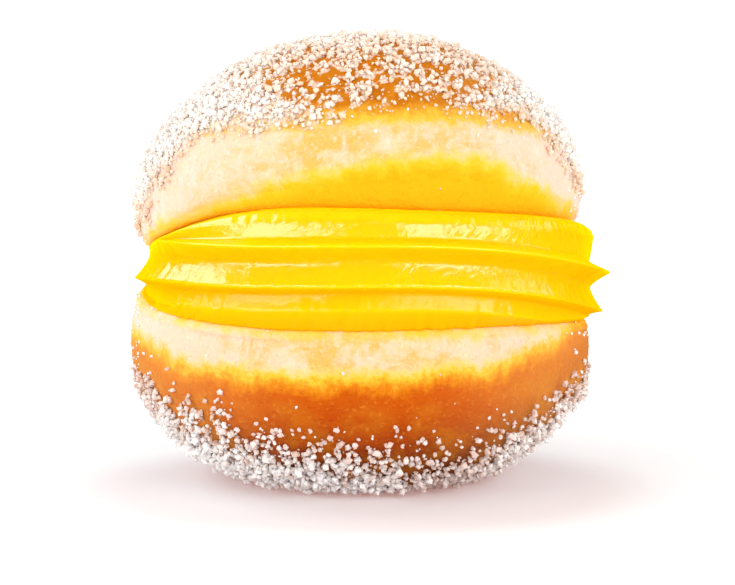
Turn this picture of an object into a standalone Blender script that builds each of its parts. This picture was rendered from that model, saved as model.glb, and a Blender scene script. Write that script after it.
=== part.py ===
"""A round sugared doughnut, split like a mouth and filled with piped custard.

Metres, +Z up. The origin lies under the middle of the bun, on the surface that it rests on. The
mouth faces -Y and a little towards +X. The dough is one piece: the cut stops short of the back,
where the lid hinges up. A turn is an angle round the bun, 0 in the middle of the mouth and
positive towards +X.
"""

import math

import bmesh
import bpy
from mathutils import Matrix, Vector, noise

MM = 0.001

# The lower half of the bun.
BUN_RADIUS = 44.0 * MM
WAIST_HEIGHT = 26.3 * MM
CUT_HEIGHT = 32.85 * MM
FOOT_SINK = 2.4 * MM  # how much of the round underside is pressed flat
FOOT_FULLNESS = 2.15  # exponent of the superellipse; 2 is an ellipse
FOOT_LEAN = 0.5 * MM  # how far the underside has slumped towards +X
WALL_CURVE = 45.0 * MM  # how gently the wall draws in between the waist and the lip

# The lid, in its own frame: heights are above the cut.
LID_RADIUS = 42.1 * MM
LID_WAIST = 6.3 * MM
LID_HEIGHT = 38.2 * MM
LID_FULLNESS = 2.08
LID_LEAN = 0.8 * MM  # how far the crown stands towards +X
LID_WALL_CURVE = 32.0 * MM

# The cut, and how the lid stands open on it.
MOUTH_YAW = math.radians(21)
CUT_ROLL = math.radians(3.7)
CUT_PITCH = math.radians(-1.55)
OPENING = math.radians(18.7)
HINGE_REACH = 37.5 * MM  # from the middle of the bun back to the hinge line
HINGE_HALF_LENGTH = 13.0 * MM
LIP_ROUND = 2.2 * MM
LIP_TWIST = 1.5 * MM
LID_LIP_ROUND = 1.5 * MM
LID_LIP_DROOP = 3.0 * MM  # how much rounder the lid's lip is in the middle of the mouth
LID_SAG = 1.0 * MM
LID_CORNER_DROP = 1.6 * MM  # the lid hangs lower in the left corner of the mouth
LID_CORNER_TURN = math.radians(-84)
LID_CORNER_WIDTH = math.radians(22)
LIFT_FADE = math.radians(55)  # over this much of the slit's end the cut faces grow flat
HINGE_CREASE = 1.0 * MM

# The piped custard.
CLEARANCE = 0.3 * MM  # the gap to the dough on both sides
RIBBON_RADIUS = 42.3 * MM
RIBBON_SHIFT = 1.4 * MM  # how far the ribbon is pushed out towards the right of the mouth
RIBBON_SHIFT_TURN = math.radians(71)
RIBBON_MIDDLE = 5.3 * MM
RIBBON_RISE = 6.3 * MM
RIBBON_RISE_TURN = math.radians(-16)
RIBBON_WAVE = 0.9 * MM
RIBBON_WAVE_TURN = math.radians(8)
CREST_HALF_PITCH = 3.75 * MM
LOW_CREST_DROP = 8.0 * MM
TOP_CREST_SHARE = 0.84  # how far up from the first crest to the lid the top one lies
CREST_REACH = {"low": 1.2 * MM, "second": 2.6 * MM, "first": 3.6 * MM, "top": -0.3 * MM}
FIRST_CREST_START = math.radians(-102)
CREST_SHARPNESS = 1.4
CREST_FADE = 0.8 * MM
ROW_GAP = 0.15 * MM
TOP_RECESS = 5.0 * MM  # the ribbon meets the lid this far behind the rounding of its lip
TOP_RECESS_TURN = math.radians(21)
RIBBON_END = math.radians(140)
RIBBON_TAPER_START = math.radians(108)
RIBBON_TAPER = 7.0 * MM  # how far the ribbon draws in at its ends
CUSTARD_BACK = 7.0 * MM  # from the hinge line to the back of the custard

# Unevenness of the dough.
LUMP_SIZE = 24.0 * MM
LUMP_DEPTH = 0.55 * MM

# Resolution.
TURNS = 72
FOOT_ROWS = 9
WALL_ROWS = 4
LIP_ROWS = 3
PAGE_ROWS = 3
DOME_ROWS = 12
TURN_STEP = 2 * math.pi / TURNS
SLIT_STEPS = 30  # the slit ends this many steps to either side of its middle
SLIT_END = SLIT_STEPS * TURN_STEP

DOUGH_COLOUR = (0.80, 0.45, 0.13, 1.0)
CUSTARD_COLOUR = (0.95, 0.66, 0.03, 1.0)


def spoke(turn, radius, height):
    """A point in a frame whose -Y axis looks out of the mouth."""
    return Vector((radius * math.sin(turn), -radius * math.cos(turn), height))


def cut_frame():
    """The frame of the lower cut face: its origin in the middle of the cut, its Z axis square to it."""
    roll = Matrix.Rotation(CUT_ROLL, 4, "Y")
    pitch = Matrix.Rotation(CUT_PITCH, 4, "X")
    yaw = Matrix.Rotation(MOUTH_YAW, 4, "Z")
    return Matrix.Translation((0, 0, CUT_HEIGHT)) @ roll @ pitch @ yaw


def lid_frame():
    """The frame of the upper cut face: the cut frame swung up about the hinge line."""
    to_hinge = Matrix.Translation((0, HINGE_REACH, 0))
    swing = Matrix.Rotation(-OPENING, 4, "X")
    return cut_frame() @ to_hinge @ swing @ to_hinge.inverted()


CUT = cut_frame()
LID = lid_frame()


def lumped(point):
    """The point, pushed in or out a little, as risen dough is never quite round."""
    middle = Vector((0, 0, CUT_HEIGHT))
    outward = (point - middle).normalized()
    lump = noise.noise(point / LUMP_SIZE)
    keep_flat = min(1.0, point.z / (6 * MM))
    return point + outward * LUMP_DEPTH * 2 * lump * keep_flat


def superellipse(angle, fullness):
    """(across, along) of a rounded quarter outline, each from 0 to 1, at 0 to 90 degrees."""
    power = 2 / fullness
    return math.cos(angle) ** power, math.sin(angle) ** power


def slit_share(turn, fade=math.radians(24)):
    """1 where the mouth is cut, falling to 0 at the slit's ends and along the hinge."""
    return max(0.0, min(1.0, (SLIT_END - abs(turn)) / fade))


def lip_lift(turn):
    """How far the lower lip stands above the flat cut: the face is a little twisted."""
    return LIP_TWIST * math.sin(2 * (turn + MOUTH_YAW)) * slit_share(turn, LIFT_FADE)


def lid_lift(turn):
    """How far the lid's lip stands above its flat cut: it sags in the middle and at one corner."""
    corner = math.exp(-(((turn - LID_CORNER_TURN) / LID_CORNER_WIDTH) ** 2))
    sag = LID_SAG * math.cos(2 * turn) + LID_CORNER_DROP * corner
    return -sag * slit_share(turn, LIFT_FADE)


def lid_lip_size(turn):
    return (LID_LIP_ROUND + LID_LIP_DROOP * max(0.0, math.cos(turn)) ** 2) * slit_share(turn)


def wall_radius(radius, above_waist, curve):
    return radius * math.sqrt(1 - (above_waist / curve) ** 2)


def lip_point(turn):
    """The outer edge of the lower cut face, in world space."""
    rough = CUT @ spoke(turn, BUN_RADIUS, lip_lift(turn))
    radius = wall_radius(BUN_RADIUS, rough.z - WAIST_HEIGHT, WALL_CURVE)
    return CUT @ spoke(turn, radius, lip_lift(turn))


def lid_lip_radius():
    return wall_radius(LID_RADIUS, LID_WAIST, LID_WALL_CURVE)


def lid_lip_point(turn):
    return LID @ spoke(turn, lid_lip_radius(), 0)


def belt_point(turn):
    """Where the two halves meet along the uncut hinge, drawn in to a soft crease."""
    middle = (lip_point(turn) + lid_lip_point(turn)) / 2
    inward = Vector((-middle.x, -middle.y, 0)).normalized()
    return middle + inward * HINGE_CREASE * (1 - slit_share(turn))


def spine_reach(turn):
    """How far along the hinge line the cut face of this turn runs out."""
    return HINGE_HALF_LENGTH * turn / SLIT_END


def spine_point(turn):
    """The inner end of the cut, on the hinge line."""
    return CUT @ Vector((spine_reach(turn), HINGE_REACH, 0))


def is_open(turn):
    return abs(turn) < SLIT_END - TURN_STEP / 2


def foot_rows(turn):
    """The underside, from the edge of the flat foot up to the widest level."""
    depth = WAIST_HEIGHT + FOOT_SINK
    power = FOOT_FULLNESS / 2
    foot_angle = math.asin((WAIST_HEIGHT / depth) ** power)
    rows = []
    for i in range(FOOT_ROWS + 1):
        angle = foot_angle * (1 - i / FOOT_ROWS)
        across, along = superellipse(angle, FOOT_FULLNESS)
        point = spoke(turn + MOUTH_YAW, BUN_RADIUS * across, WAIST_HEIGHT - depth * along)
        point.x += FOOT_LEAN * along
        rows.append(lumped(point))
    return rows


def wall_rows(turn):
    """The lower half's wall, from above its widest level to the start of the lip's rounding."""
    top = lip_point(turn) if is_open(turn) else belt_point(turn)
    reach = math.hypot(top.x, top.y)
    top_height = top.z - LIP_ROUND * slit_share(turn)
    rise = top_height - WAIST_HEIGHT
    rows = []
    for i in range(1, WALL_ROWS + 1):
        part = i / WALL_ROWS if is_open(turn) else i / (WALL_ROWS + 1)
        free = wall_radius(BUN_RADIUS, rise * part, WALL_CURVE)
        end = wall_radius(BUN_RADIUS, rise, WALL_CURVE)
        radius = free + (reach - end) * part**3
        rows.append(lumped(spoke(turn + MOUTH_YAW, radius, WAIST_HEIGHT + rise * part)))
    return rows


def lip_rows(turn, frame, radius, lift, size):
    """A rounded edge, from the skin to the cut face. The size is below zero on the lower lip."""
    rows = []
    for i in range(1, LIP_ROWS + 1):
        angle = math.pi / 2 * i / LIP_ROWS
        inward = abs(size) * (1 - math.cos(angle))
        rows.append(frame @ spoke(turn, radius - inward, lift + size * (1 - math.sin(angle))))
    return rows


def page_rows(turn, start):
    """A cut face, from the end of the lip's rounding in to the hinge line, without its ends."""
    end = spine_point(turn)
    return [start.lerp(end, i / (PAGE_ROWS + 1)) for i in range(1, PAGE_ROWS + 1)]


def mouth_rows(turn):
    """Both lips and both cut faces, from the lower lip in to the hinge and out to the lid's lip."""
    if not is_open(turn):
        return [belt_point(turn)] * (2 * (LIP_ROWS + PAGE_ROWS) + 1)
    low_edge = (CUT.inverted() @ lip_point(turn)).xy.length
    low_lip = lip_rows(turn, CUT, low_edge, lip_lift(turn), -LIP_ROUND * slit_share(turn))
    lid_lip = lip_rows(turn, LID, lid_lip_radius(), lid_lift(turn), lid_lip_size(turn))
    low_page = page_rows(turn, low_lip[-1])
    lid_page = page_rows(turn, lid_lip[-1])
    return low_lip + low_page + [spine_point(turn)] + lid_page[::-1] + lid_lip[::-1]


def lid_wall_rows(turn):
    """The lid's wall, from its lip to below its widest level."""
    start = lid_lip_size(turn) + lid_lift(turn)
    belt = LID.inverted() @ belt_point(turn)
    rows = []
    for i in range(WALL_ROWS):
        part = i / WALL_ROWS if is_open(turn) else (i + 1) / (WALL_ROWS + 1)
        low = start if is_open(turn) else belt.z
        height = low + (LID_WAIST - low) * part
        radius = wall_radius(LID_RADIUS, LID_WAIST - height, LID_WALL_CURVE)
        if not is_open(turn):
            end = wall_radius(LID_RADIUS, LID_WAIST - belt.z, LID_WALL_CURVE)
            radius += (belt.xy.length - end) * (1 - part) ** 3
        rows.append(lumped(LID @ spoke(turn, radius, height)))
    return rows


def dome_rows(turn):
    """The top of the lid, from its widest level up to the last ring below the crown."""
    rise = LID_HEIGHT - LID_WAIST
    rows = []
    for i in range(DOME_ROWS):
        angle = math.pi / 2 * i / DOME_ROWS
        across, along = superellipse(angle, LID_FULLNESS)
        point = LID @ spoke(turn, LID_RADIUS * across, LID_WAIST + rise * along)
        point.x += LID_LEAN * along
        rows.append(lumped(point))
    return rows


def bridge(bm, lower, upper):
    """Joins two closed rings by faces. A corner that both rings share is taken once."""
    for i, _ in enumerate(lower):
        corners = dict.fromkeys((lower[i - 1], lower[i], upper[i], upper[i - 1]))
        if len(corners) > 2:
            bm.faces.new(corners)


def build_bun(collection):
    """The dough: a loft through one half outline for each turn, from the foot to the crown."""
    turns = [(i - TURNS // 2) * TURN_STEP for i in range(TURNS)]
    bm = bmesh.new()
    sections = []
    for turn in turns:
        mouth = mouth_rows(turn)
        if is_open(turn):
            belt = [bm.verts.new(point) for point in mouth]
        else:
            belt = [bm.verts.new(mouth[0])] * len(mouth)
        below = [bm.verts.new(point) for point in foot_rows(turn) + wall_rows(turn)]
        above = [bm.verts.new(point) for point in lid_wall_rows(turn) + dome_rows(turn)]
        sections.append(below + belt + above)
    rings = list(zip(*sections))
    for lower, upper in zip(rings, rings[1:]):
        bridge(bm, lower, upper)
    bm.faces.new(reversed(rings[0]))
    crown = bm.verts.new(lumped(LID @ Vector((0, 0, LID_HEIGHT)) + Vector((LID_LEAN, 0, 0))))
    bridge(bm, rings[-1], [crown] * TURNS)
    return finished("bun", bm, DOUGH_COLOUR, collection)


def ribbon_wobble(turn, seed):
    """A slow drift between -1 and 1 along the ribbon."""
    return noise.noise(Vector((3 * math.sin(turn), 3 * math.cos(turn), seed)))


def ribbon_base(turn):
    """The radius of the ribbon's valleys, which draw in towards both of its ends."""
    taper = max(0.0, (abs(turn) - RIBBON_TAPER_START) / (RIBBON_END - RIBBON_TAPER_START))
    shift = RIBBON_SHIFT * math.cos(turn - RIBBON_SHIFT_TURN)
    return RIBBON_RADIUS + shift - RIBBON_TAPER * taper**2


def ribbon_top(turn):
    """(height, radius) in the cut frame where the custard meets the lid, behind its lip."""
    recess = TOP_RECESS * (0.55 + 0.45 * math.cos(turn - TOP_RECESS_TURN))
    radius = min(lid_lip_radius() - lid_lip_size(turn) - recess, ribbon_base(turn))
    height = lid_lift(turn) * (1 - recess / (2 * HINGE_REACH)) - CLEARANCE
    point = CUT.inverted() @ LID @ spoke(turn, radius, height)
    return point.z, point.xy.length


def ribbon_marks(turn):
    """(height, radius) of the crests and valleys in the cut frame, upwards from the lower contact."""
    base = ribbon_base(turn)
    top = ribbon_top(turn)[0]
    bottom = CLEARANCE + lip_lift(turn)
    middle = RIBBON_MIDDLE + RIBBON_RISE * math.cos(turn - RIBBON_RISE_TURN)
    middle += RIBBON_WAVE * math.cos(3 * (turn - RIBBON_WAVE_TURN))
    second = middle - CREST_HALF_PITCH
    first = middle + CREST_HALF_PITCH
    top_crest = first + TOP_CREST_SHARE * (top - first)
    left_fade = max(0.0, min(1.0, (turn - FIRST_CREST_START) / math.radians(35)))
    wanted = [
        (bottom, 0.0),
        (middle - LOW_CREST_DROP, CREST_REACH["low"]),
        (second - 1.2 * MM, 0.2 * MM),
        (second, CREST_REACH["second"]),
        (middle + 0.7 * MM, 0.0),
        (first, CREST_REACH["first"] * left_fade),
        (first + 0.4 * (top_crest - first), -1.0 * MM),
        (top_crest, CREST_REACH["top"] * left_fade),
    ]
    marks = []
    for i, (height, reach) in enumerate(wanted):
        lowest = bottom + i * ROW_GAP
        highest = top - (len(wanted) - i) * ROW_GAP
        height = max(lowest, min(highest, height))
        fade = min(1.0, (height - bottom) / CREST_FADE, (top - height) / CREST_FADE)
        reach *= fade * (1 + 0.15 * ribbon_wobble(turn, i))
        marks.append((height, base + reach))
    return marks


def ribbon_front(turn):
    """The custard's front at this turn: sharp crests, round valleys and a full shoulder on top."""
    marks = ribbon_marks(turn)
    outline = []
    for (low, low_radius), (high, high_radius) in zip(marks, marks[1:]):
        valley = min(low_radius, high_radius)
        halfway = valley + (max(low_radius, high_radius) - valley) * 0.5**CREST_SHARPNESS
        outline.append((low, low_radius))
        outline.append(((low + high) / 2, halfway))
    top, top_radius = ribbon_top(turn)
    crest, crest_radius = marks[-1]
    shoulder = (crest + 0.65 * (top - crest), top_radius + 0.55 * (crest_radius - top_radius))
    outline += [(crest, crest_radius), shoulder, (top, top_radius)]
    return [CUT @ spoke(turn, radius, height) for height, radius in outline]


def custard_section(turn):
    """A closed outline: the ribbed front, then in along the lid's cut face and out on the bun's."""
    front = ribbon_front(turn)
    across = spine_reach(turn)
    back = HINGE_REACH - CUSTARD_BACK
    low_back = CUT @ Vector((across, back, CLEARANCE))
    lid_back = LID @ Vector((across, back, -CLEARANCE))
    inner = [i / PAGE_ROWS for i in range(1, PAGE_ROWS)]
    top_line = [front[-1].lerp(lid_back, part) for part in inner]
    low_line = [low_back.lerp(front[0], part) for part in inner]
    return front + top_line + [lid_back, low_back] + low_line


def build_custard(collection):
    """The filling: a loft of closed sections from one end of the mouth round to the other."""
    steps = round(RIBBON_END / TURN_STEP)
    bm = bmesh.new()
    loops = []
    for i in range(-steps, steps + 1):
        loops.append([bm.verts.new(point) for point in custard_section(i * TURN_STEP)])
    for left, right in zip(loops, loops[1:]):
        bridge(bm, right, left)
    bm.faces.new(loops[0])
    bm.faces.new(reversed(loops[-1]))
    return finished("custard", bm, CUSTARD_COLOUR, collection)


def finished(name, bm, colour, collection):
    """The mesh as a smooth-shaded object with a material of its own."""
    bmesh.ops.recalc_face_normals(bm, faces=bm.faces)
    mesh = bpy.data.meshes.new(name)
    bm.to_mesh(mesh)
    bm.free()
    mesh.shade_smooth()
    mesh.set_sharp_from_angle(angle=math.radians(40))
    material = bpy.data.materials.new(name)
    material.use_nodes = True
    shader = material.node_tree.nodes["Principled BSDF"]
    shader.inputs["Base Color"].default_value = colour
    shader.inputs["Roughness"].default_value = 0.55
    mesh.materials.append(material)
    part = bpy.data.objects.new(name, mesh)
    collection.objects.link(part)
    return part


def main():
    for old in list(bpy.data.objects):
        bpy.data.objects.remove(old)
    doughnut = bpy.data.collections.new("filled_doughnut")
    bpy.context.scene.collection.children.link(doughnut)
    build_bun(doughnut)
    build_custard(doughnut)


main()
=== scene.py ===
"""The looks of a round sugared doughnut with piped custard: its dough, filling, sugar and light.

Metres, +Z up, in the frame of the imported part. The mouth faces -Y and a little towards +X. A turn
is an angle round the bun, 0 in the middle of the mouth and positive towards +X.
"""

import math

import bmesh
import bpy
import numpy as np
from mathutils import Matrix, Vector, noise


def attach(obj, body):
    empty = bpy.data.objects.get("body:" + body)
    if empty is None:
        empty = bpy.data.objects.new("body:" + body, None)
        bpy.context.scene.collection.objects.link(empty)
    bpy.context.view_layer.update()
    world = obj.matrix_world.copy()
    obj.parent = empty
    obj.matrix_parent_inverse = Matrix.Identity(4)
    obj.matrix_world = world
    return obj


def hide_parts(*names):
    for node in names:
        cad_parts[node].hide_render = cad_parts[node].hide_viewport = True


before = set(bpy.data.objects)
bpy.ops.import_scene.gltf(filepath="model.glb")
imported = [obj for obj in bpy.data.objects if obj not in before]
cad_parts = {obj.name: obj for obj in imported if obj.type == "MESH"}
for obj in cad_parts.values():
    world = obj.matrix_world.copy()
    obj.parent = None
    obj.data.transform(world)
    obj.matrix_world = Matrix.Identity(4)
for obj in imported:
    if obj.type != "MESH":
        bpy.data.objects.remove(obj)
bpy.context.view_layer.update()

MM = 0.001

# The lower half of the bun, as the part has it.
BUN_RADIUS = 44.0 * MM
WAIST_HEIGHT = 26.3 * MM
CUT_HEIGHT = 32.85 * MM
FOOT_SINK = 2.4 * MM
FOOT_FULLNESS = 2.15
FOOT_LEAN = 0.5 * MM
WALL_CURVE = 45.0 * MM

# The lid, in its own frame: heights are above the cut.
LID_RADIUS = 42.1 * MM
LID_WAIST = 6.3 * MM
LID_HEIGHT = 38.2 * MM
LID_FULLNESS = 2.08
LID_LEAN = 0.8 * MM
LID_WALL_CURVE = 32.0 * MM

# The cut, and how the lid stands open on it.
MOUTH_YAW = math.radians(21)
CUT_ROLL = math.radians(3.7)
CUT_PITCH = math.radians(-1.55)
OPENING = math.radians(18.7)
HINGE_REACH = 37.5 * MM
HINGE_HALF_LENGTH = 13.0 * MM
LIP_ROUND = 2.2 * MM
LIP_TWIST = 1.5 * MM
LID_LIP_ROUND = 1.5 * MM
LID_LIP_DROOP = 3.0 * MM
LID_SAG = 1.0 * MM
LID_CORNER_DROP = 1.6 * MM
LID_CORNER_TURN = math.radians(-84)
LID_CORNER_WIDTH = math.radians(22)
LIFT_FADE = math.radians(55)
HINGE_CREASE = 1.0 * MM
SLIT_END = math.radians(150)
SLIT_FADE = math.radians(24)
LIP_SWELL = 2.9 * MM  # how far the lid's lip bulges down, on to the custard
LIP_SWELL_WIDTH = 2.2 * MM
LIP_SWELL_PLACE = 2.6 * MM  # from the lip's outer edge

# The piped custard.
CLEARANCE = 0.3 * MM
RIBBON_RADIUS = 42.3 * MM
RIBBON_SHIFT = 1.4 * MM
RIBBON_SHIFT_TURN = math.radians(71)
RIBBON_MIDDLE = 5.3 * MM
RIBBON_RISE = 6.3 * MM
RIBBON_RISE_TURN = math.radians(-16)
RIBBON_WAVE = 0.9 * MM
RIBBON_WAVE_TURN = math.radians(8)
CREST_HALF_PITCH = 3.75 * MM
LOW_CREST_DROP = 8.0 * MM
TOP_CREST_SHARE = 0.84
TOP_VALLEY_SHARE = 0.26
CREST_REACH = {"low": 1.2 * MM, "second": 2.6 * MM, "first": 3.6 * MM, "top": -1.1 * MM}
FIRST_CREST_START = math.radians(-102)
FIRST_CREST_RISE = math.radians(35)
CREST_SHARPNESS = 1.4
LOBE_ROUNDNESS = 0.5
SHOULDER_SWELL = 0.45 * MM
SHOULDER_SIDE_GAIN = 1.2
SHOULDER_ROUND = 3.0 * MM
SHOULDER_SLOPE = 1.4
LIP_GAP = 0.10 * MM
DRAPE_INWARD = 1.0 * MM  # the custard's foot ends this far inside the lower lip's edge
DRAPE_REACH = 1.4 * MM
DRAPE_RAGGEDNESS = 0.3
CREST_FADE = 0.8 * MM
CORNER_SPILL = 0.9 * MM  # squeezed out under the lid's drooping corner
END_TIP = 1.2 * MM  # a small third tip, high at the right end of the mouth
END_TIP_TURN = math.radians(72)
END_TIP_WIDTH = math.radians(14)
CREST_NICKS = 0.30 * MM  # how ragged the crests' edges are
CREST_NICKS_PER_TURN = 28
CREST_UNEVENNESS = 0.15
ROW_GAP = 0.15 * MM
TOP_RECESS = 5.0 * MM
TOP_RECESS_TURN = math.radians(21)
RIBBON_END = math.radians(140)
RIBBON_TAPER_START = math.radians(108)
RIBBON_TAPER = 7.0 * MM
CUSTARD_BACK = 7.0 * MM
DRAG_DEPTH = 0.07 * MM  # fine ripples that the nozzle drags across the custard
DRAG_PITCH = 1.1 * MM
DRAG_LENGTH = 4.2 * DRAG_PITCH
DRAG_LEAN = 0.8
DRAG_PATCH = (9.0 * MM, 5.0 * MM)  # how long and how high the rippled patches are

# Unevenness of the dough.
LUMP_SIZE = 24.0 * MM
LUMP_DEPTH = 0.55 * MM
LUMP_FADE = 6.0 * MM  # the lumps fade out below this height, towards the flat foot
DIMPLE_SIZE = 4.5 * MM
DIMPLE_DEPTH = 0.16 * MM
DIMPLE_FADE = 2.0 * MM
GRAIN_SIZE = 1.7 * MM
GRAIN_DEPTH = 0.07 * MM

# Where the frying fat has browned the dough.
CRUST_TOP = 22.6 * MM  # the lower crust's upper edge at the front
CRUST_CLIMB = 4.0 * MM  # how much higher it reaches at the sides
CRUST_CLIMB_RIGHT = 1.2 * MM
CRUST_CORNER = 4.0 * MM  # it climbs to the lip at the right end of the mouth
CRUST_CORNER_START = 0.80  # as a share of the bun's radius
LID_CRUST_EDGE = 16.5 * MM  # above the lid's cut
LID_CRUST_LEFT = 4.0 * MM  # and how much higher it is on the left
LID_CRUST_LEFT_SPAN = (0.35, 0.8)  # shares of the lid's radius over which it rises
LID_BROWNING = 1.2 * MM  # from this depth the lid browns more slowly than the underside
LID_BROWNING_GAIN = 0.10
CRUST_WANDER = 1.6 * MM
CRUST_WANDER_SIZE = 9.0 * MM
NOT_BROWNED = -30.0 * MM
HINGE_BROWNING = -10.0 * MM
LOW_LIP_CRUMB = 0.15  # how much of the cut crumb shows on each lip's rounding; its soaked orange also paints shade under the lid's lip
LID_LIP_CRUMB = 0.5

# Where custard has stained the skin above the mouth, together with painted shade and yellow bounce
# light under the lid's lip: heights above the lid's cut, by turn.
STAIN_AND_SHADE_TURNS = np.radians([-150, -80, -54, -37, -18, 3, 19, 30, 45, 90, 150])
STAIN_AND_SHADE_HEIGHTS = np.array([0.0, 0.5, 1.5, 3.2, 5.0, 6.2, 5.4, 3.6, 1.2, 0.0, 0.0]) * MM
# how far the custard stain and painted yellow shade reach below the lower lip
LOW_STAIN_AND_SHADE_DEPTH = 0.2 * MM

# Resolution.
TURNS = 480
FOOT_ROWS = 34
WALL_ROWS = 9
LIP_ROWS = 7
PAGE_ROWS = 14
PAGE_CROWDING = 1.8  # the rows of a cut face stand closer near its lip
DOME_ROWS = 84
TURN_STEP = 2 * math.pi / TURNS
RIBBON_STEPS = 320  # from the middle of the ribbon to each of its ends
SEGMENT_ROWS = 7  # between a crest and the next valley
SHOULDER_ROWS = 11

# The sugar.
SEED = 88
CRYSTAL_KINDS = 12
GRAIN_SPREAD = 0.28  # how much the grains differ in size
CROWDING = 3  # places tried for each grain that is kept
CLUMP_SIZE = 2.5 * MM
CLUMP_VEIN = 0.05  # how wide the bare veins between the clumps are
RUBBED_VEIN = 0.26  # and how much wider where the crown has been rubbed
RUBBED_THINNING = 0.35
DOME_MIDDLE = Vector((0, 0, 42.0 * MM))
RUBBED_PLACE = (0.13, 0.83)  # the rubbed patch as seen from the dome's middle: across and up
RUBBED_REACH = (0.80, 0.20)
CROWN_SUGAR_EDGE = 16.0 * MM  # above the lid's cut
CROWN_EDGE_RAGGED = 3.0 * MM
CROWN_EDGE_SIDE_DROP = 9.0 * MM
CROWN_EDGE_LEFT_DROP = 1.8 * MM
BASE_SUGAR_EDGE = 13.5 * MM  # above the floor
BASE_EDGE_RAGGED = 3.5 * MM
BASE_EDGE_RIGHT_CLIMB = 6.8 * MM
BASE_EDGE_RIGHT_DIP = 1.5 * MM
BASE_EDGE_LEFT_CLIMB = 6.0 * MM
BASE_THINNING = 0.45
BASE_VEIN = 0.34  # at the underside's ragged edge
BASE_VEIN_NARROWING = 0.24  # further down
STRAY_SIDE_GAIN = 7
STRAYS_CLIMB = 20.0 * MM  # strays are common on the underside up to here
LID_STRAYS_EDGE = 9.0 * MM  # and on the lid from here, above its cut
BASE_DUST = 0.35

# The colours of the dough.
CREAM = (0.75, 0.41, 0.10)
PALE_WISP = (0.77, 0.53, 0.34)
PALE_SIDE = (0.77, 0.51, 0.44)
PALE_STREAK = (0.80, 0.60, 0.52)
PALE_GRAIN = (0.82, 0.65, 0.56)
BROWNING_DEPTH = 24.0  # millimetres that the stops below span
BROWNING_STOPS = [
    (0.0, (0.79, 0.58, 0.13)),
    (0.07, (0.76, 0.46, 0.03)),
    (0.14, (0.66, 0.21, 0.005)),
    (0.21, (0.53, 0.092, 0.001)),
    (0.38, (0.46, 0.061, 0.001)),
    (0.56, (0.39, 0.062, 0.004)),
    (0.80, (0.18, 0.024, 0.004)),
]
CRUST_CLOUD = (0.60, 0.20, 0.008)
CRUST_SIDE = (0.70, 0.32, 0.07)
CRUST_GRAIN = (0.74, 0.34, 0.04)
LID_CRUST_PALE = (0.74, 0.42, 0.04)
LID_CRUST_DEEP = (0.50, 0.175, 0.004)
LID_CRUST_SIDE = (0.64, 0.33, 0.12)
# Custard stain and soaked crumb; both also stand for painted yellow-orange shade and bounce light
# under the lid's lip.
THIN_STAIN_AND_SHADE = (0.94, 0.50, 0.02)
SOAKED_STAIN_AND_SHADE = (1.0, 0.35, 0.0)
SOAKED_CRUMB_AND_SHADE = (1.0, 0.48, 0.01)
SUGAR_FILM = (0.84, 0.69, 0.58)

# The colours of the custard, whose deep and light tones are painted shade and light, and of the
# sugar. Each sugar has a dull, a middling and a bright tone.
CUSTARD_SHADED = (1.0, 0.39, 0.0)
CUSTARD_LIT = (1.0, 0.54, 0.001)
CUSTARD_SHEEN = (1.0, 0.8, 1.0)
DRY_TONES = (0.77, 0.55, 0.39), (0.84, 0.72, 0.63), (0.88, 0.85, 0.84)
# Painted light: these tones are brighter than the crown's, to lift the shade under the bun.
SHADE_LIFTED_TONES = (0.66, 0.49, 0.42), (0.89, 0.82, 0.79), (0.98, 0.97, 0.96)

# The floor.
PAPER = (0.52, 0.61, 0.64)
# glow of the painted shadow round the bun, then of the open floor
SHADE = (0.32, 0.17, 0.15)
OPEN_FLOOR = (0.66, 0.66, 0.66)
SHADE_AHEAD = (0, 18, 0)  # in millimetres, from the shade's middle to the bun's
SHADE_OVAL = (1.12, 1.4, 1)
FLOOR_HALF_WIDTH = 6.0
FLOOR_GAP = 0.02 * MM

# The camera and the studio.
AIM = Vector((1.35 * MM, 0, 34.8 * MM))
CAMERA_ELEVATION = math.radians(8)
CAMERA_DISTANCE = 0.6
LENS = 153.06
SOFTBOX_DISTANCE = 1.0
LIGHT_COLOUR = (1.0, 0.985, 0.965)
ROOM_STRENGTH = 0.50


def clamped(value):
    return min(1.0, max(0.0, value))


def smooth(value, low, high):
    part = clamped((value - low) / (high - low))
    return part * part * (3 - 2 * part)


def bell(value, middle, width):
    """1 at the middle, falling to 0 on either side of it."""
    return math.exp(-(((value - middle) / width) ** 2))


def frontness(turn):
    """1 in the middle of the mouth, falling to 0 at its sides and behind."""
    return max(0.0, math.cos(turn)) ** 2


def unevenness(*place):
    return noise.noise(Vector(place))


def spoke(turn, radius, height):
    """A point in a frame whose -Y axis looks out of the mouth."""
    return Vector((radius * math.sin(turn), -radius * math.cos(turn), height))


def cut_frame():
    """The frame of the lower cut face, from the middle of the cut, with its Z axis square to it."""
    roll = Matrix.Rotation(CUT_ROLL, 4, "Y")
    pitch = Matrix.Rotation(CUT_PITCH, 4, "X")
    yaw = Matrix.Rotation(MOUTH_YAW, 4, "Z")
    return Matrix.Translation((0, 0, CUT_HEIGHT)) @ roll @ pitch @ yaw


def lid_frame():
    """The frame of the upper cut face: the cut frame swung up about the hinge line."""
    to_hinge = Matrix.Translation((0, HINGE_REACH, 0))
    swing = Matrix.Rotation(-OPENING, 4, "X")
    return cut_frame() @ to_hinge @ swing @ to_hinge.inverted()


CUT = cut_frame()
LID = lid_frame()
FROM_CUT = CUT.inverted()
FROM_LID = LID.inverted()


def lumped(point):
    """The point, pushed in or out a little, as risen dough is never quite round."""
    middle = Vector((0, 0, CUT_HEIGHT))
    outward = (point - middle).normalized()
    lump = noise.noise(point / LUMP_SIZE)
    keep_flat = min(1.0, point.z / LUMP_FADE)
    return point + outward * LUMP_DEPTH * 2 * lump * keep_flat


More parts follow.
